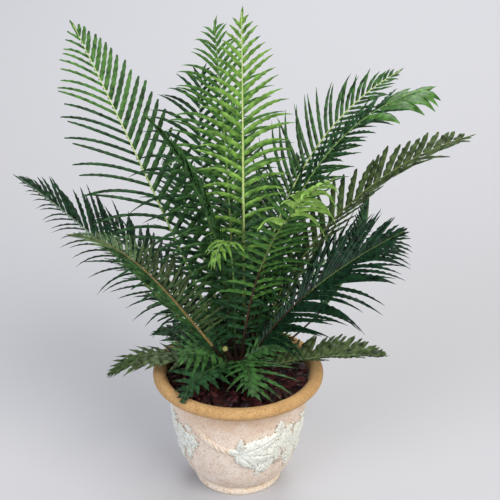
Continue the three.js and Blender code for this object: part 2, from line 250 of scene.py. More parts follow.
def meshPiece(name, points, faces, materials, picks=None, sharpFrom=50):
    mesh = bpy.data.meshes.new(name)
    mesh.from_pydata((np.asarray(points) * mm).tolist(), [], [list(map(int, face)) for face in faces])
    for material in materials:
        mesh.materials.append(material)
    if picks is not None:
        mesh.polygons.foreach_set("material_index", np.asarray(picks, dtype=np.int32))
    mesh.shade_smooth()
    mesh.set_sharp_from_angle(angle=math.radians(sharpFrom))
    mesh.update()
    piece = bpy.data.objects.new(name, mesh)
    bpy.context.scene.collection.objects.link(piece)
    return piece


def ringFaces(rings, around):  # quads between closed rings of points
    first = np.arange(around)
    after = (first + 1) % around
    low = np.arange(rings - 1)[:, None] * around
    quads = np.stack([low + first, low + after, low + around + after, low + around + first], -1)
    return quads.reshape(-1, 4)


def latheRings(radii, heights, turns, outward=0):
    angles = np.radians(np.arange(turns) * 360 / turns)
    radius = np.broadcast_to(np.asarray(radii, float)[:, None] + outward, (len(radii), turns))
    height = np.broadcast_to(np.asarray(heights, float)[:, None], radius.shape)
    return np.stack([radius * np.cos(angles), radius * np.sin(angles), height], -1).reshape(-1, 3)


def unit(vectors):
    return vectors / np.linalg.norm(vectors, axis=-1, keepdims=True)


def dress(piece, slot, *nodes):
    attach(piece, "root")
    if nodes:
        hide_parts(*nodes)


# camera, floor and light

view = {"target": (18, 0, 390), "distance": 2200, "pitch": 27, "lens": 108.5, "sensor": 36}
floorDims = {"size": 12000, "colour": "#b9babf", "roughness": 0.95}
softboxes = {
    "keySoftbox": {"place": (2100, -2300, 3000), "aim": (0, 0, 350), "size": 3200, "power": 180,
                   "colour": "#fffaf2"},
    "fillSoftbox": {"place": (-2300, -2300, 1900), "aim": (0, 0, 350), "size": 2200, "power": 78,
                    "colour": "#f4f7ff"},
    "backSoftbox": {"place": (500, 3000, 3400), "aim": (150, 1800, 0), "size": 2600, "power": 146,
                    "colour": "#ffffff"},
}
studioGlow = {"colour": "#e6e7ec", "strength": 0.2}


def makeCamera():
    data = bpy.data.cameras.new("camera")
    data.lens = view["lens"]
    data.sensor_width = view["sensor"]
    camera = bpy.data.objects.new("camera", data)
    pitch = math.radians(view["pitch"])
    back = Vector((0, -math.cos(pitch), math.sin(pitch)))
    camera.location = (Vector(view["target"]) + back * view["distance"]) * mm
    camera.rotation_euler = (-back).to_track_quat("-Z", "Y").to_euler()
    bpy.context.scene.collection.objects.link(camera)
    bpy.context.scene.camera = camera


# matt paper floor: even and pale, no shine
def makeFloor():
    half = floorDims["size"] / 2
    corners = [(-half, -half, 0), (half, -half, 0), (half, half, 0), (-half, half, 0)]
    surface = {"Base Color": toLinear(floorDims["colour"]), "Roughness": floorDims["roughness"]}
    paper = newMaterial("studioPaperMatt", surface)[0]
    floor = meshPiece("floor", corners, [(0, 1, 2, 3)], [paper])


def makeLight():
    for name, box in softboxes.items():
        data = bpy.data.lights.new(name, "AREA")
        data.size = box["size"] * mm
        data.energy = box["power"]
        data.color = toLinear(box["colour"])[:3]
        light = bpy.data.objects.new(name, data)
        place = Vector(box["place"])
        light.location = place * mm
        light.rotation_euler = (Vector(box["aim"]) - place).to_track_quat("-Z", "Y").to_euler()
        bpy.context.scene.collection.objects.link(light)
    world = bpy.data.worlds.new("studio")
    world.use_nodes = True
    glow = world.node_tree.nodes["Background"].inputs
    glow["Color"].default_value = toLinear(studioGlow["colour"])
    glow["Strength"].default_value = studioGlow["strength"]
    bpy.context.scene.world = world
    bpy.context.scene.view_settings.view_transform = "Standard"


# pot: urn body on a bead, groove above it, rolled rim, plain inside wall

potDims = {
    "turns": 480, "underside": 40, "beadRadius": 63.2, "beadOut": 4, "beadHigh": 11, "beadSteps": 14,
    "beadSoft": 0.5, "bodyFrom": 17, "bodyTo": 174, "bodyStep": 1.4, "lowRadius": 67, "highRadius": 102,
    "swell": 0.58, "rimRadius": 119.5, "rimHeight": 183, "rimWidth": 10, "rimDepth": 9.5, "rimFrom": -120,
    "rimTo": 180, "rimSteps": 34,
    # radius and height
    "groove": [(64.3, 12.3), (64.2, 13.5), (64.8, 14.7), (65.8, 15.7)],
    "wall": [(97, 171), (86, 62), (60, 14), (onAxis, 14)],
}
potFinishes = {
    "body": {"name": "terracottaLimewashed", "clay": "#d8bfab", "wash": "#eee4d9", "wearAndShade": "#bd9b7e",
             "stain": "#c79f74", "stainHeights": (110, 200)},
    "rim": {"name": "terracottaOchreWashed", "clay": "#ad8655", "wash": "#cba572", "wearAndShade": "#9c7648",
            "stain": "#be9560", "stainHeights": (160, 240)},
    "mint": {"name": "limewashMintChalk", "clay": "#cdd3cb", "wash": "#f1f3ec", "wearAndShade": "#b7aa98",
             "stain": "#dfdccf", "stainHeights": (130, 230)},
    # a slightly lighter copy of the body wash: painted highlight on the foot bead and on the rope
    "cream": {"name": "terracottaCreamPaintedHighlight", "clay": "#dac4aa", "wash": "#f1e7d9", "wearAndShade": "#bd9b7e",
              "stain": "#d2b698", "stainHeights": (110, 200)},
    # grey painted shade for the edges and low ground of the relief
    "paintedShade": {"name": "limewashGreyPaintedShade", "clay": "#7d766b", "wash": "#a59d91", "wearAndShade": "#665d52",
              "stain": "#857a69", "stainHeights": (110, 200)},
}
finishSlot = {finish: number for number, finish in enumerate(potFinishes)}
garlandDims = {
    "start": 230, "period": 120, "radius": 98, "seed": 21,
    # rope of two strands that sags to the knot
    "ropeTo": 40, "ropeOver": 3, "ropeHigh": 131, "ropeLow": 100, "ropeHalf": 6.2, "ropeProud": 3.4,
    "strand": 8, "strandSlant": 0.8, "strandDepth": 0.3,
    # angle, length and half width of the large leaves that spread from the knot
    "fan": [(-48, 44, 13), (22, 66, 15), (-8, 70, 17), (82, 32, 5.5), (150, 18, 6), (-95, 20, 6)],
    "knot": (41, 98), "fanRipple": 0.06,
    # bunch of small leaves and fruit on a low pad
    "bunchTurns": (57, 114), "bunchHeights": (68, 126), "pad": 1.0, "padBack": 4, "padWide": 0.62,
    "padTall": 0.56, "padEdge": 3, "leaves": 30, "leafLength": (22, 34), "leafHalf": (6.5, 10),
    "leafShare": 0.7, "leafRipple": 0.15, "berries": 50, "berryRadius": (3.4, 5.4), "berryOver": 2,
    "berryShare": 0.7, "dimple": 1.2, "dimpleSpread": 1.6,
    # mm proud where finishes start: cream on the rope (a painted highlight), mint that thins out low on the
    # bunch, then grey painted shade round the relief's edges and on its low pad
    "highlightCreamFrom": 0.8, "mintFrom": (0.8, 3.0), "mintSeed": 33, "paintedShadeFrom": 0.2, "paintedShadeShare": 0.45,
    "paintedShadeSeed": 34,
}
perDegree = math.radians(1) * garlandDims["radius"]  # mm of wall
carvedLeaf = {"proud": 5.4, "belly": 0.7, "lobes": 3.5, "lobeShift": 0.2, "rounding": 0.45, "ends": 0.6,
              "midribHalf": 1.2, "midribDepth": 0.4, "vein": 8, "veinSlant": 0.8}


def bodyRadius(height):
    share = np.clip((height - potDims["bodyFrom"]) / (potDims["bodyTo"] - potDims["bodyFrom"]), 0, 1)
    swell = np.sin(np.pi / 2 * share ** potDims["swell"])
    return potDims["lowRadius"] + (potDims["highRadius"] - potDims["lowRadius"]) * swell


def wallAway(local, place):  # mm of wall from a place in one repeat of the garland
    half = garlandDims["period"] / 2
    return ((local - place + half) % garlandDims["period"] - half) * perDegree


def leafRelief(away, rise, angle, length, half, ripple):
    form = carvedLeaf
    turn = math.radians(angle)
    along = (away * math.cos(turn) + rise * math.sin(turn)) / length
    across = -away * math.sin(turn) + rise * math.cos(turn)
    share = np.clip(along, 0.001, 0.999)
    lobed = 1 + ripple * np.cos(2 * np.pi * (form["lobes"] * share + form["lobeShift"]))
    edge = half * np.sin(np.pi * share ** form["belly"]) * lobed
    off = np.clip(np.abs(across) / np.maximum(edge, 0.1), 0, 1)
    midrib = form["midribDepth"] * np.exp(-(across / form["midribHalf"]) ** 2)
    veins = ripple * np.sin(2 * np.pi * (length * share - form["veinSlant"] * np.abs(across)) / form["vein"])
    rounded = (1 - off ** 2) ** form["rounding"] * (1 - midrib + veins)
    proud = form["proud"] * rounded * (form["ends"] + (1 - form["ends"]) * np.sin(np.pi * share))
    return np.where((along > 0) & (along < 1), proud, 0)


def ropeRelief(local, heights):
    dims = garlandDims
    share = np.clip(local / dims["ropeTo"], 0, 1)
    fall = dims["ropeHigh"] - dims["ropeLow"]
    sag = dims["ropeHigh"] - fall * np.sin(np.pi / 2 * share)
    slope = fall * np.pi / 2 * np.cos(np.pi / 2 * share) / (dims["ropeTo"] * perDegree)
    stretch = np.sqrt(1 + slope ** 2)
    off = (heights - sag) / stretch
    strand = (local * perDegree * stretch + dims["strandSlant"] * off) / dims["strand"]
    twist = 1 - dims["strandDepth"] + dims["strandDepth"] * np.cos(2 * np.pi * strand)
    rope = dims["ropeProud"] * np.sqrt(np.clip(1 - (off / dims["ropeHalf"]) ** 2, 0, 1)) * twist
    return np.where(local < dims["ropeTo"] + dims["ropeOver"], rope, 0)


def bunchRelief(local, heights):
    dims = garlandDims
    dice = np.random.default_rng(dims["seed"])
    first, last = dims["bunchTurns"]
    low, high = dims["bunchHeights"]
    padMiddle = (first + last) / 2 - dims["padBack"]
    aside = wallAway(local, padMiddle) / (dims["padWide"] * (last - first) * perDegree)
    upright = (heights - (low + high) / 2) / (dims["padTall"] * (high - low))
    bunch = dims["pad"] * np.clip(dims["padEdge"] * (1 - aside ** 2 - upright ** 2), 0, 1)
    for number in range(dims["leaves"]):
        away = wallAway(local, first + (last - first) * (number + dice.uniform(0, 1)) / dims["leaves"])
        rise = heights - dice.uniform(low, high)
        angle = dice.uniform(-180, 180)
        length = dice.uniform(*dims["leafLength"])
        half = dice.uniform(*dims["leafHalf"])
        leaf = leafRelief(away, rise, angle, length, half, dims["leafRipple"])
        bunch = np.maximum(bunch, dims["leafShare"] * leaf)
    for number in range(dims["berries"]):
        away = wallAway(local, first + (last - first) * (number + dice.uniform(0, 1)) / dims["berries"])
        rise = heights - dice.uniform(low - dims["berryOver"], high + dims["berryOver"])
        radius = dice.uniform(*dims["berryRadius"])
        ball = np.sqrt(np.clip(radius ** 2 - away ** 2 - rise ** 2, 0, None))
        dimple = dims["dimple"] * np.exp(-(away ** 2 + rise ** 2) / dims["dimpleSpread"])
        bunch = np.maximum(bunch, dims["berryShare"] * ball - dimple)
    knotTurn, knotHeight = dims["knot"]
    away = wallAway(local, knotTurn)
    rise = heights - knotHeight
    for angle, length, half in dims["fan"]:
        bunch = np.maximum(bunch, leafRelief(away, rise, angle, length, half, dims["fanRipple"]))
    return bunch


def potProfile():
    dims = potDims
    bead = np.linspace(0, dims["beadHigh"], dims["beadSteps"])
    middle = dims["beadHigh"] / 2
    bulge = np.sqrt(1 - ((bead - middle) / (middle + dims["beadSoft"])) ** 2)
    groove = np.array(dims["groove"])
    body = np.arange(dims["bodyFrom"], dims["bodyTo"], dims["bodyStep"])
    roll = np.radians(np.linspace(dims["rimFrom"], dims["rimTo"], dims["rimSteps"]))
    wall = np.array(dims["wall"])
    # finish, whether the garland is on it, radii and heights of each stretch, from the underside up
    stretches = [
        # the underside and the bead take the lighter cream wash, a painted highlight
        ("cream", 0, [onAxis, dims["underside"]], [0, 0]),
        ("cream", 0, dims["beadRadius"] + dims["beadOut"] * bulge, bead),
        ("body", 0, groove[:, 0], groove[:, 1]),
        ("body", 1, bodyRadius(body), body),
        ("rim", 0, dims["rimRadius"] + dims["rimWidth"] * np.cos(roll),
         dims["rimHeight"] + dims["rimDepth"] * np.sin(roll)),
        ("rim", 0, wall[:, 0], wall[:, 1]),
    ]
    finishes, carved, radii, heights = zip(*stretches)
    counts = [len(part) for part in radii]
    slots = np.repeat([finishSlot[finish] for finish in finishes], counts)
    return np.concatenate(radii), np.concatenate(heights), slots, np.repeat(carved, counts)


def makePot():
    radii, heights, slots, carved = potProfile()
    turns = potDims["turns"]
    local = (np.arange(turns)[None] * 360 / turns - garlandDims["start"]) % garlandDims["period"]
    rope = ropeRelief(local, heights[:, None]) * carved[:, None]
    bunch = bunchRelief(local, heights[:, None]) * carved[:, None]
    points = latheRings(radii, heights, turns, np.maximum(rope, bunch))
    proud = np.maximum(bunch[:-1], bunch[1:])
    proud = np.maximum(proud, np.roll(proud, -1, axis=1))  # the highest corner of each face
    # the raised rope takes the lighter cream wash, a painted highlight
    picks = np.where(rope[:-1] > garlandDims["highlightCreamFrom"], finishSlot["cream"], slots[:-1, None])
    # grey painted shade speckled over faces a little proud: the relief's edges and the low pad between its
    # leaves and berries
    paintedShade = np.random.default_rng(garlandDims["paintedShadeSeed"]).uniform(0, 1, proud.shape)
    isPaintedShade = (proud > garlandDims["paintedShadeFrom"]) & (paintedShade < garlandDims["paintedShadeShare"])
    picks = np.where(isPaintedShade, finishSlot["paintedShade"], picks)
    mintFrom = np.random.default_rng(garlandDims["mintSeed"]).uniform(*garlandDims["mintFrom"], proud.shape)
    picks = np.where(proud > mintFrom, finishSlot["mint"], picks)
    materials = [limewashedTerracotta(finish) for finish in potFinishes.values()]
    pot = meshPiece("garland_pot", points, ringFaces(len(radii), turns), materials, picks.ravel())
    dress(pot, "pot", "pot")


# potting mix and its mulch of bark chips

mixDims = {
    "top": 182, "edge": 108, "edgeDrop": 1.5, "turns": 120, "bump": 2.5, "bumpDeep": 5, "seed": 5,
    "rings": [onAxis, 15, 30, 45, 60, 72, 82, 92, 100],  # radii inside the edge
    "wall": [(96.2, 171), (85.4, 62), (59.7, 14.3), (onAxis, 14.3)],  # radius and height
}
chipDims = {
    "count": 520, "radius": 105, "trunk": 31, "size": (7, 17), "sides": 7, "outline": (0.65, 1.1),
    "narrow": (0.5, 0.85), "flat": 0.32, "thick": (0.7, 1.3), "rough": 0.06, "tilt": 0.35, "lift": (0.2, 2.6),
    "layers": [(0.8, -0.5), (1.0, -0.15), (1.0, 0.25), (0.78, 0.5)],  # width and height of a chip's rings
    "spin": 3, "spinRise": 0.1, "edgeRoom": 2, "edgeSize": 0.35, "edgeWide": 12, "seed": 6,
    "tones": ["Dark", "Red", "Brown"],
}


def mixHeight(radius):
    return mixDims["top"] - mixDims["edgeDrop"] * (radius / mixDims["edge"]) ** 2


def makeMix():
    dice = np.random.default_rng(mixDims["seed"])
    rings = np.array(mixDims["rings"] + [mixDims["edge"]])
    wall = np.array(mixDims["wall"])
    radii = np.concatenate([wall[::-1, 0], rings[::-1]])
    heights = np.concatenate([wall[::-1, 1], mixHeight(rings)[::-1]])
    points = latheRings(radii, heights, mixDims["turns"])
    lumpy = points[:, 2] > mixDims["top"] - mixDims["bumpDeep"]
    points[lumpy, 2] += dice.uniform(-1, 1, lumpy.sum()) * mixDims["bump"]
    mix = meshPiece("potting_soil", points, ringFaces(len(radii), mixDims["turns"]), [barkMulch("Fines")])
    dress(mix, "potting_mix", "potting_mix")


def chipPoints(dice):
    dims = chipDims
    radius = math.sqrt(dice.uniform(dims["trunk"] ** 2, dims["radius"] ** 2))
    turn = dice.uniform(0, 2 * np.pi)
    size = dice.uniform(*dims["size"])
    angles = np.linspace(0, 2 * np.pi, dims["sides"], endpoint=False)
    outline = size * dice.uniform(*dims["outline"], dims["sides"])
    narrow = dice.uniform(*dims["narrow"])
    flat = np.stack([outline * np.cos(angles), outline * np.sin(angles) * narrow], -1)
    thick = size * dims["flat"] * dice.uniform(*dims["thick"])
    chip = np.concatenate([np.column_stack([flat * wide, np.full(dims["sides"], high * thick)])
                           for wide, high in dims["layers"]])
    chip[:, 2] += dice.normal(0, dims["rough"] * size, len(chip))
    tilt = unit(np.array([dice.normal(0, dims["tilt"]), dice.normal(0, dims["tilt"]), 1.0]))
    spin = turn * dims["spin"]
    side = unit(np.cross(tilt, [math.cos(spin), math.sin(spin), dims["spinRise"]]))
    basis = np.stack([side, np.cross(tilt, side), tilt])
    high = mixHeight(radius) + dice.uniform(*dims["lift"])
    room = max(0.0, dims["radius"] + dims["edgeRoom"] - radius)
    shrink = min(1, dims["edgeSize"] + room / dims["edgeWide"])  # smaller chips at the rim
    return chip * shrink @ basis + [radius * math.cos(turn), radius * math.sin(turn), high]


def makeChips():
    dice = np.random.default_rng(chipDims["seed"])
    sides = chipDims["sides"]
    tube = ringFaces(len(chipDims["layers"]), sides).tolist()
    each = len(chipDims["layers"]) * sides
    oneChip = tube + [list(range(sides))[::-1], list(range(each - sides, each))]
    points, faces, picks = [], [], []
    for number in range(chipDims["count"]):
        points.append(chipPoints(dice))
        faces += [[number * each + corner for corner in face] for face in oneChip]
        picks += [int(dice.integers(0, len(chipDims["tones"])))] * len(oneChip)
    materials = [barkMulch(tone) for tone in chipDims["tones"]]
    chips = meshPiece("bark_mulch", np.concatenate(points), faces, materials, picks, sharpFrom=35)
    dress(chips, "potting_mix")


clearance = {"rim": 1.5, "mulch": 6}


def clearOfPot(points):  # lifts what would sink into the mulch or the rim
    radius = np.hypot(points[:, 0], points[:, 1])
    away = (radius - potDims["rimRadius"]) / (potDims["rimWidth"] + clearance["rim"])
    roll = np.sqrt(np.clip(1 - away ** 2, 0, 1))
    rim = potDims["rimHeight"] + (potDims["rimDepth"] + clearance["rim"]) * roll
    ground = np.where(np.abs(away) < 1, rim, -np.inf)
    ground = np.where(radius < mixDims["edge"], mixDims["top"] + clearance["mulch"], ground)
    return np.column_stack([points[:, :2], np.maximum(points[:, 2], ground)])


# trunk with the bumps of old stalk bases, and the cut stub of one old frond

trunkDims = {
    "foot": 182.3, "turns": 144, "rows": 60, "seed": 9, "fibre": 0.5, "sunk": 0.6, "smoothTo": 12,
    # radius and height
    "profile": [(37, 0), (32, 5), (29, 11), (27, 18), (23, 25), (15, 30.5), (onAxis, 33)],
    "scars": 46, "scarFrom": 3, "scarSpan": 24, "scarProud": 3.2, "scarSize": 6, "scarTall": 0.7,
    "golden": 137.508,  # turn from one stalk to the next
}
stubDims = {
    "seat": (-10, -12, 206), "turn": 233, "rise": 64, "length": 36, "radius": 4.4, "sides": 20,
    # how far along and how wide: stem, then the cut, rounded at its edge
    "profile": [(0, 0.05), (0, 1.1), (0.94, 1), (1, 0.8), (1.02, 0.4), (1.02, 0.02)], "cutFrom": 2,
}


def makeTrunk():
    dims = trunkDims
    profile = np.array(dims["profile"])
    steps = np.linspace(0, 1, dims["rows"])
    knots = np.linspace(0, 1, len(profile))
    radii = np.interp(steps, knots, profile[:, 0])
    heights = np.interp(steps, knots, profile[:, 1])
    angles = np.arange(dims["turns"]) * 360 / dims["turns"]
    relief = np.zeros((dims["rows"], dims["turns"]))
    for number in range(dims["scars"]):
        turn = number * dims["golden"] % 360
        away = ((angles - turn + 180) % 360 - 180)[None, :] * np.radians(1) * radii[:, None]
        rise = (heights - dims["scarFrom"] - dims["scarSpan"] * number / dims["scars"])[:, None]
        tall = dims["scarTall"] * dims["scarSize"]
        bump = np.clip(1 - (away / dims["scarSize"]) ** 2 - (rise / tall) ** 2, 0, 1)
        relief = np.maximum(relief, dims["scarProud"] * np.sqrt(bump))
    dice = np.random.default_rng(dims["seed"])
    fibre = dice.uniform(-dims["fibre"], dims["fibre"], relief.shape)
    relief = relief + fibre - dims["scarProud"] * dims["sunk"]
    relief = relief * np.clip(radii / dims["smoothTo"], 0, 1)[:, None]
    base = latheRings([onAxis], [dims["foot"]], dims["turns"])
    points = latheRings(radii, dims["foot"] + heights, dims["turns"], relief)
    faces = ringFaces(dims["rows"] + 1, dims["turns"])
    trunk = meshPiece("fern_trunk", np.vstack([base, points]), faces, [rootFibre()], sharpFrom=80)
    dress(trunk, "trunk", "trunk")


def makeStub():
    dims = stubDims
    turn = math.radians(dims["turn"])
    rise = math.radians(dims["rise"])
    along = np.array([math.cos(rise) * math.cos(turn), math.cos(rise) * math.sin(turn), math.sin(rise)])
    side = np.array([-math.sin(turn), math.cos(turn), 0])
    angles = np.linspace(0, 2 * np.pi, dims["sides"], endpoint=False)[:, None]
    circle = side * np.cos(angles) + np.cross(along, side) * np.sin(angles)
    seat = np.array(dims["seat"])
    points = np.concatenate([seat + along * dims["length"] * far + circle * dims["radius"] * wide
                             for far, wide in dims["profile"]])
    rows = np.arange(len(dims["profile"]) - 1)
    picks = np.repeat((rows >= dims["cutFrom"]).astype(int), dims["sides"])
    materials = [stalkMaterials["scaly"], stalkMaterials["cut"]]
    faces = ringFaces(len(dims["profile"]), dims["sides"])
    stub = meshPiece("frond_stub", points, faces, materials, picks, sharpFrom=40)
    dress(stub, "trunk", "trunk")


# fronds: the same rule as the solids, with finer leaflets

tiers = {
    "inner": {"radius": 9, "height": 211, "slot": "young_fronds"},
    "middle": {"radius": 19, "height": 202, "slot": "grown_fronds"},
    "outer": {"radius": 23, "height": 191, "slot": "old_fronds"},
    "skirt": {"radius": 25, "height": 190, "slot": "low_fronds"},
}
frondDefaults = {
    # the rib: sway of its tip aside, how late it bends, roll of the blade about it, thickness
    "sway": 0, "bend": 1.5, "roll": 0, "ribWidth": 1,
    # how leaflets stand: folded up, hanging, angle to the rib; pairs are for the two rows
    "fold": 10, "rowFold": (0, 0), "droop": 0.25, "pitchFoot": 78, "pitchTip": 30, "rowPitch": (1, 1),
    # how long they are along the rib
    "start": 0.07, "footShare": 0.3, "footPower": 2, "longestAt": 0.5, "tipPower": 1.6, "rowReach": (1, 1),
    # spacing, width as a share of it, outline, wavy edge, and how far each strays from the rule
    "spacing": 16, "width": 0.5, "rowWidth": (1, 1), "taper": 1, "web": 0, "wave": 0.28, "waveLength": 13,
    "curve": 0.08, "stray": 1,
    # tones: leaflets at the foot (darker, partly for older leaflets, partly as painted shade low in the
    # crown), of the second row and at the tip, then the rib low and high
    "foot": None, "footTo": 0, "second": None, "tip": None, "tipFrom": 1, "tipWidth": 1, "tipDroop": 0,
    "low": "olive", "high": "green",
}
skirtDefaults = {
    **frondDefaults, "fold": 0, "droop": 0.14, "pitchFoot": 66, "pitchTip": 28, "start": 0.02,
    "footShare": 0.6, "tipPower": 2, "spacing": 14, "width": 0.95, "taper": 1.3, "web": 0.9, "wave": 0.14,
    "waveLength": 12, "curve": 0.05, "low": "dark", "high": "dark",
}
frondRows = {
    "inner": [
        dict(seat=0, turn=95, rise=89, arch=6, length=540, reach=94, longestAt=0.62, footShare=0.15,
             footPower=1.1, droop=0.42, spacing=18, width=0.4, web=0.12, stray=0.6, curve=-0.06, ribWidth=1.3,
             leaf="young", foot="deep", footTo=0.4, high="pale"),
        dict(seat=105, turn=105, rise=82, arch=16, length=510, reach=118, tipPower=2, droop=0.5, spacing=14,
             width=0.46, web=0.12, wave=0.2, curve=-0.12, leaf="grown", tip="fresh", tipFrom=0.5),
        dict(seat=180, turn=186, rise=88, arch=38, length=430, reach=64, fold=40, droop=0.05, pitchFoot=32,
             pitchTip=10, spacing=12, width=0.8, leaf="grown", low="brown", high="olive"),
        dict(seat=300, turn=318, rise=82, arch=46, length=405, reach=72, roll=-30, droop=0.35, pitchFoot=84,
             pitchTip=52, tipPower=2.4, leaf="fresh", foot="deep", footTo=0.3, tip="unfurling", tipFrom=0.72,
             tipWidth=1.9, tipDroop=0.6, low="brown", high="olive"),
        dict(seat=240, turn=258, rise=90, arch=140, bend=3, length=325, reach=62, droop=0.5, spacing=24,
             width=0.4, leaf="grown", foot="deep", footTo=0.5, tip="young", tipFrom=0.68, tipDroop=0.3,
             low="dark"),
    ],
    "middle": [
        # its first row takes the deeper tone as painted shade on the side of the blade turned from the light
        dict(seat=148, turn=146, rise=62, arch=10, sway=-10, length=560, reach=126, roll=-30, droop=0.3,
             pitchFoot=74, tipPower=2, rowReach=(1, 0.86), rowWidth=(0.6, 1), spacing=19, width=0.48,
             taper=0.36, stray=0.4, wave=0.2, ribWidth=0.9, leaf="deep", second="grown", tip="fresh",
             tipFrom=0.72, low="green", high="pale"),
        dict(seat=120, turn=134, rise=76, arch=18, sway=-60, length=450, reach=135, droop=0.5, tipPower=2,
             spacing=17, width=0.42, wave=0.2, curve=-0.12, leaf="deep", low="sage", high="sage"),
        dict(seat=212, turn=212, rise=57, arch=44, bend=4, length=390, reach=80, roll=50, fold=0,
             rowPitch=(1, 0.35), spacing=10, width=0.55, ribWidth=1.2, leaf="olive", second="grown",
             foot="deep", footTo=0.2, tip="underside", tipFrom=0.66, low="amber", high="amber"),
        dict(seat=334, turn=344, rise=72, arch=37, bend=0.55, length=350, reach=128, roll=35, droop=0.35,
             pitchFoot=66, pitchTip=18, tipPower=1.3, footShare=0.6, rowPitch=(0.88, 0.8),
             rowReach=(1.1, 1.3), rowWidth=(1, 0.95), start=0.1, spacing=10, width=0.8, wave=0.36,
             ribWidth=0.7, leaf="blue", low="brown", high="olive"),
        dict(seat=357, turn=8, rise=72, arch=60, bend=1.4, length=505, reach=68, fold=9, rowFold=(19, -19),
             droop=0.1, tipPower=2.6, rowPitch=(1, 0.42), rowReach=(1, 1.2), rowWidth=(1, 0.5), spacing=20,
             width=0.62, taper=0.5, wave=0.16, leaf="olive", high="olive"),
        dict(seat=18, turn=13, rise=80, arch=77, bend=2.2, length=540, reach=76, tipPower=6, pitchTip=48,
             rowPitch=(0.6, 1), rowReach=(0.85, 1), leaf="deep", tip="fresh", tipFrom=0.82, tipWidth=3,
             tipDroop=0.2, low="dark"),
        dict(seat=40, turn=28, rise=82, arch=68, bend=1.8, length=526, reach=106, roll=28, droop=0.2,
             pitchFoot=88, curve=0.16, rowReach=(1.05, 0.95), spacing=13, wave=0.15, leaf="grown",
             high="pale"),
        dict(seat=66, turn=64, rise=62, arch=30, length=340, reach=95, leaf="deep"),
        dict(seat=92, turn=92, rise=58, arch=30, length=430, reach=100, leaf="grown"),
    ],
    "outer": [
        dict(seat=162, turn=164, rise=46, arch=14, length=430, reach=122, roll=-15, droop=0.35, tipPower=1.35,
             rowPitch=(1, 0.8), rowReach=(0.65, 1.1), rowWidth=(0.6, 1.15), spacing=14, leaf="blue",
             high="sage"),
        dict(seat=348, turn=352, rise=18, arch=18, length=210, reach=52, fold=28, droop=0.05, spacing=9,
             width=1.1, taper=0.6, wave=0.14, leaf="olive"),
        dict(seat=14, turn=3, rise=34, arch=-60, bend=1.3, length=350, reach=40, fold=55, droop=0, start=0.4,
             tipPower=4, spacing=11, width=0.8, leaf="deep", low="brown"),
        dict(seat=40, turn=44, rise=42, arch=34, length=310, reach=90, leaf="blue"),
        dict(seat=64, turn=68, rise=44, arch=26, length=280, reach=85, leaf="deep"),
        dict(seat=88, turn=88, rise=32, arch=30, length=330, reach=90, leaf="grown"),
        dict(seat=112, turn=112, rise=46, arch=24, length=380, reach=90, leaf="deep"),
        dict(seat=136, turn=136, rise=40, arch=30, length=340, reach=90, leaf="blue"),
    ],
    "skirt": [
        dict(seat=186, turn=187, rise=30, arch=76, length=190, reach=54, spacing=16, width=0.75,
             leaf="olive"),
        dict(radius=15, height=212, seat=196, turn=204, rise=38, arch=56, length=88, reach=58, roll=-20,
             pitchFoot=96, spacing=13, width=0.75, web=0.7, wave=0.2, leaf="grown"),
        dict(radius=15, height=212, seat=236, turn=232, rise=8, arch=90, bend=3.5, length=130, reach=74,
             longestAt=0.4, footShare=0.7, tipPower=1, rowReach=(0.65, 1), pitchFoot=110, pitchTip=40,
             width=0.85, leaf="deep"),
        dict(radius=15, height=212, seat=280, turn=284, rise=24, arch=80, length=98, reach=74, tipPower=1.1,
             rowReach=(1.15, 0.65), pitchFoot=92, spacing=12, width=0.7, web=0.6, wave=0.22, leaf="grown"),
        dict(radius=15, height=212, seat=300, turn=350, rise=40, arch=20, length=76, reach=56, roll=45,
             droop=0.05, pitchFoot=52, pitchTip=18, spacing=9, width=0.6, web=0.6, leaf="grown"),
        dict(seat=60, turn=60, rise=35, arch=60, length=130, reach=55, leaf="deep"),
        dict(seat=108, turn=108, rise=32, arch=66, length=150, reach=55, leaf="grown"),
        dict(seat=150, turn=150, rise=36, arch=62, length=130, reach=55, leaf="deep"),
    ],
}
fronds = [
    {**(skirtDefaults if tier == "skirt" else frondDefaults), **tiers[tier], **row,
     "node": f"frond_{tier}_{number}"}
    for tier, rows in frondRows.items()
    for number, row in enumerate(rows, 1)
]
ribDims = {
    "steps": 160, "stations": 56, "sides": 8, "to": 0.985, "base": 2.6, "perLength": 1 / 200, "tip": 1.1,
    "thinning": 0.8, "channel": 0.35, "channelPower": 4, "scalyTo": 0.12, "lowTo": 0.42, "toneStray": 0.02,
    "seed": 400,
}
leafletDims = {
    "fewest": 8, "rowStarts": (0.25, 0.75), "to": 0.96, "crowd": 0.16, "stations": 24, "seed": 100,
    # how far along and how wide: joined foot, even blade, drawn-out tip
    "outline": [(0, 0.85), (0.06, 0.95), (0.25, 1), (0.5, 0.92), (0.7, 0.7), (0.86, 0.38), (0.95, 0.17),
                (1, 0.05)],
    "narrowest": 0.7, "webTo": 0.3, "thickness": 1.0, "thinning": 0.7, "cup": 0.38, "droopPower": 2.4,
    # wavy edge: a long and a short wave, still at the foot
    "ripple": 0.25, "longWave": 0.75, "shortWave": 0.25, "shortRate": 1.7, "shortShift": 3, "stillTo": 0.25,
    # chance: spread in degrees, as a share, or from and to
    "pitchStray": 2, "foldStray": 3.5, "curveStray": 0.7, "toneStray": 0.04, "lengthStray": (-0.1, 0.02),
    "droopStray": (0.5, 1.5),
    "endFrom": 0.95, "endWidth": 0.17,  # the leaf that ends the rib
}
up = np.array([0.0, 0.0, 1.0])


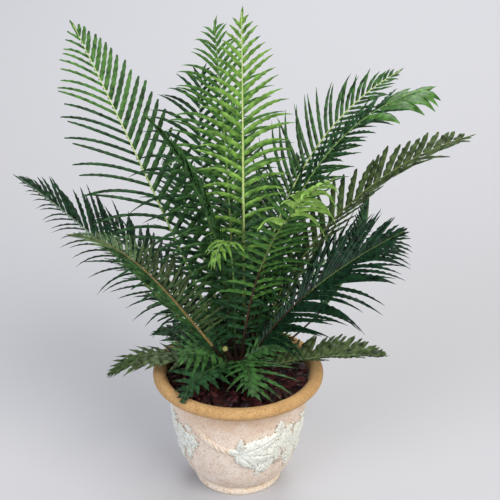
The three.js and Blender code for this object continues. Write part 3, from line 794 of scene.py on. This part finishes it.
def ribAxes(frond, shares):
    bent = shares ** frond["bend"]
    rise = np.radians(frond["rise"] - frond["arch"] * bent)
    turn = np.radians(frond["turn"] + frond["sway"] * bent)
    roll = math.radians(frond["roll"])
    along = np.stack([np.cos(rise) * np.cos(turn), np.cos(rise) * np.sin(turn), np.sin(rise)], -1)
    level = np.stack([-np.sin(turn), np.cos(turn), 0 * turn], -1)
    across = level * math.cos(roll) + np.cross(along, level) * math.sin(roll)
    return along, across, np.cross(along, across)


def ribPoints(frond, shares):
    seat = math.radians(frond["seat"])
    start = np.array([frond["radius"] * math.cos(seat), frond["radius"] * math.sin(seat), frond["height"]])
    knots = np.linspace(0, 1, ribDims["steps"] + 1)
    along = ribAxes(frond, (knots[:-1] + knots[1:]) / 2)[0]
    path = start + np.vstack([np.zeros(3), np.cumsum(along, axis=0)]) * frond["length"] / ribDims["steps"]
    return np.stack([np.interp(shares, knots, path[:, axis]) for axis in range(3)], -1)


def leafletShare(frond, shares):  # length of a leaflet as a share of the longest
    longest = frond["longestAt"]
    above = 1 - np.clip((shares - longest) / (1 - longest), 0, 1) ** frond["tipPower"]
    below = 1 - (1 - frond["footShare"]) * np.clip((longest - shares) / longest, 0, 1) ** frond["footPower"]
    return np.where(shares > longest, above, below)


def byRow(sides, values):  # the value of each leaflet's own row
    return np.where(sides > 0, *values)


def bladeRings(frond, blades, dice):  # four points round each leaflet at every station
    dims = leafletDims
    count = len(blades["root"])
    far = np.linspace(0, 1, dims["stations"])[None, :, None]
    blades = {name: values.reshape(count, 1, -1) for name, values in blades.items()}  # leaflet, station, axis
    length = blades["length"]
    widthAxis = blades["widthAxis"]
    curve = frond["curve"] * (1 + frond["stray"] * dice.normal(0, dims["curveStray"], (count, 1, 1)))
    middle = blades["root"] + blades["direction"] * length * far + widthAxis * curve * length * far ** 2
    middle = middle - up * blades["droop"] * length * far ** dims["droopPower"]
    tangent = unit(np.gradient(middle, axis=1))
    aside = unit(widthAxis - tangent * np.sum(widthAxis * tangent, -1, keepdims=True))
    normal = np.cross(tangent, aside)
    normal = normal * np.sign(np.sum(normal * blades["face"], -1, keepdims=True))
    half = blades["width"] / 2 * np.interp(far, *zip(*dims["outline"])) ** frond["taper"]
    half = half * (1 + frond["web"] * np.exp(-(far / dims["webTo"]) ** 2))
    waves = length / frond["waveLength"] * far
    edges = []
    for side in (1, -1):
        phase = dice.uniform(0, 1, (count, 1, 1))
        short = dims["shortRate"] * waves + dims["shortShift"] * phase
        swing = dims["longWave"] * np.sin(2 * np.pi * (waves + phase))
        swing = swing + dims["shortWave"] * np.sin(2 * np.pi * short)
        swing = swing * np.clip(far / dims["stillTo"], 0, 1) * blades["calm"]
        edge = middle + aside * side * half * (1 + frond["wave"] * swing)
        edges.append(edge + normal * half * (dims["ripple"] * swing - dims["cup"]))
    thick = normal * dims["thickness"] / 2 * (1 - dims["thinning"] * far)
    return np.stack([edges[0], middle + thick, edges[1], middle - thick], 2)


def bladeFaces(count, stations):
    tube = ringFaces(stations, 4)
    caps = np.array([[3, 2, 1, 0], [0, 1, 2, 3]]) + np.array([[0], [(stations - 1) * 4]])
    one = np.vstack([tube, caps])
    return (one[None] + np.arange(count)[:, None, None] * stations * 4).reshape(-1, 4), len(one)


def leafletPlaces(frond):  # share along the rib and side of each leaflet, and their spacing
    pairs = max(leafletDims["fewest"], round(frond["length"] / frond["spacing"]))
    sides = np.repeat([1, -1], pairs)
    order = (np.tile(np.arange(pairs), 2) + byRow(sides, leafletDims["rowStarts"])) / pairs  # rows alternate
    order = order * (1 + leafletDims["crowd"] * (1 - order))  # closer together towards the tip
    span = leafletDims["to"] - frond["start"]
    return frond["start"] + span * order, sides, frond["length"] * span / pairs


def leafletRows(frond, dice):
    dims = leafletDims
    shares, sides, spacing = leafletPlaces(frond)
    count = len(shares)
    along, across, face = ribAxes(frond, shares)
    pitch = np.radians(frond["pitchFoot"] + (frond["pitchTip"] - frond["pitchFoot"]) * shares)
    pitch = pitch * byRow(sides, frond["rowPitch"])
    pitch = pitch + np.radians(frond["stray"] * dice.normal(0, dims["pitchStray"], count))
    fold = frond["fold"] + byRow(sides, frond["rowFold"])
    fold = np.radians(fold + frond["stray"] * dice.normal(0, dims["foldStray"], count))
    outward = across * (sides * np.cos(fold))[:, None] + face * np.sin(fold)[:, None]
    direction = along * np.cos(pitch)[:, None] + outward * np.sin(pitch)[:, None]
    share = leafletShare(frond, shares)
    length = frond["reach"] * share * byRow(sides, frond["rowReach"])
    length = length * (1 + dice.uniform(*dims["lengthStray"], count))
    ragged = shares + dice.normal(0, dims["toneStray"], count)  # tones change at a ragged line
    isTip = ragged > frond["tipFrom"]
    broad = np.where(isTip, frond["tipWidth"], 1)
    slim = dims["narrowest"] + (1 - dims["narrowest"]) * share
    level = 1 - direction[:, 2] ** 2  # an upright leaflet hangs less
    droop = frond["droop"] * level + frond["tipDroop"] * isTip
    blades = {
        "root": ribPoints(frond, shares), "direction": direction, "face": face, "length": length,
        "widthAxis": unit(along - direction * np.sum(along * direction, -1, keepdims=True)),
        "width": frond["width"] * spacing * slim * broad * byRow(sides, frond["rowWidth"]),
        "droop": droop * dice.uniform(*dims["droopStray"], count),
        "calm": 1 / broad ** 2,  # less wave on a broad leaflet
    }
    return ragged, sides, bladeRings(frond, blades, dice)


def endLeaf(frond, dice):  # the leaf that ends the rib
    share = np.array([leafletDims["endFrom"]])
    across, face = ribAxes(frond, share)[1:]
    root = ribPoints(frond, share)
    reach = ribPoints(frond, np.array([1.0])) - root
    length = np.linalg.norm(reach, axis=-1)
    blades = {"root": root, "direction": unit(reach), "widthAxis": across, "face": face, "length": length,
              "width": leafletDims["endWidth"] * length, "droop": np.zeros(1), "calm": np.ones(1)}
    return share, np.ones(1), bladeRings(frond, blades, dice)


def makeLeaflets(frond, number):
    dice = np.random.default_rng(leafletDims["seed"] + number)
    rows = leafletRows(frond, dice)
    end = endLeaf(frond, dice)
    ragged, sides, rings = (np.concatenate(both) for both in zip(rows, end))
    faces, each = bladeFaces(len(ragged), leafletDims["stations"])
    leaf = frond["leaf"]
    # material slots: 0 foot, 1 blade, 2 tip, 3 blade of the second row
    tones = [frond["foot"] or leaf, leaf, frond["tip"] or leaf, frond["second"] or leaf]
    picks = (ragged > frond["footTo"]).astype(int) + (ragged > frond["tipFrom"])
    picks = np.where((picks == 1) & (sides < 0), 3, picks)
    piece = meshPiece(frond["node"] + "_leaflets", clearOfPot(rings.reshape(-1, 3)), faces,
                      [leafMaterials[tone] for tone in tones], np.repeat(picks, each))
    dress(piece, frond["slot"], frond["node"])


def makeRib(frond, number):
    dims = ribDims
    dice = np.random.default_rng(dims["seed"] + number)
    sides = dims["sides"]
    shares = np.linspace(0, dims["to"], dims["stations"])
    across, face = ribAxes(frond, shares)[1:]
    middle = ribPoints(frond, shares)
    thick = (dims["base"] + dims["perLength"] * frond["length"]) * frond["ribWidth"]
    half = (thick + (dims["tip"] - thick) * shares ** dims["thinning"])[:, None, None] / 2
    angles = np.linspace(0, 2 * np.pi, sides, endpoint=False)[None, :, None]
    # a shallow channel along the upper side
    channel = 1 - dims["channel"] * np.clip(np.sin(angles), 0, 1) ** dims["channelPower"]
    section = across[:, None] * np.cos(angles) + face[:, None] * np.sin(angles) * channel
    points = np.vstack([(middle[:, None] + section * half).reshape(-1, 3), middle[:1], middle[-1:]])
    faces = ringFaces(len(shares), sides).tolist()
    last = (len(shares) - 1) * sides
    for corner in range(sides):
        after = (corner + 1) % sides
        faces.append([after, corner, last + sides])
        faces.append([last + corner, last + after, last + sides + 1])
    # material slots: 0 scaly foot, 1 low part, 2 high part
    ragged = shares[:-1, None] + dice.normal(0, dims["toneStray"], sides)[None]
    picks = np.where(ragged < dims["scalyTo"], 0, np.where(ragged < dims["lowTo"], 1, 2)).ravel()
    picks = np.concatenate([picks, np.tile([0, 2], sides)])
    materials = [stalkMaterials[tone] for tone in ("scaly", frond["low"], frond["high"])]
    piece = meshPiece(frond["node"] + "_stalk", points, faces, materials, picks)
    dress(piece, frond["slot"], frond["node"])


makeCamera()
makeFloor()
makeLight()
print("camera, floor and light set")
makePot()
print("pot and garland made")
makeMix()
makeChips()
print("potting mix and bark mulch made")
makeTrunk()
makeStub()
for number, frond in enumerate(fronds):
    makeLeaflets(frond, number)
    makeRib(frond, number)
print("trunk and", len(fronds), "fronds made")
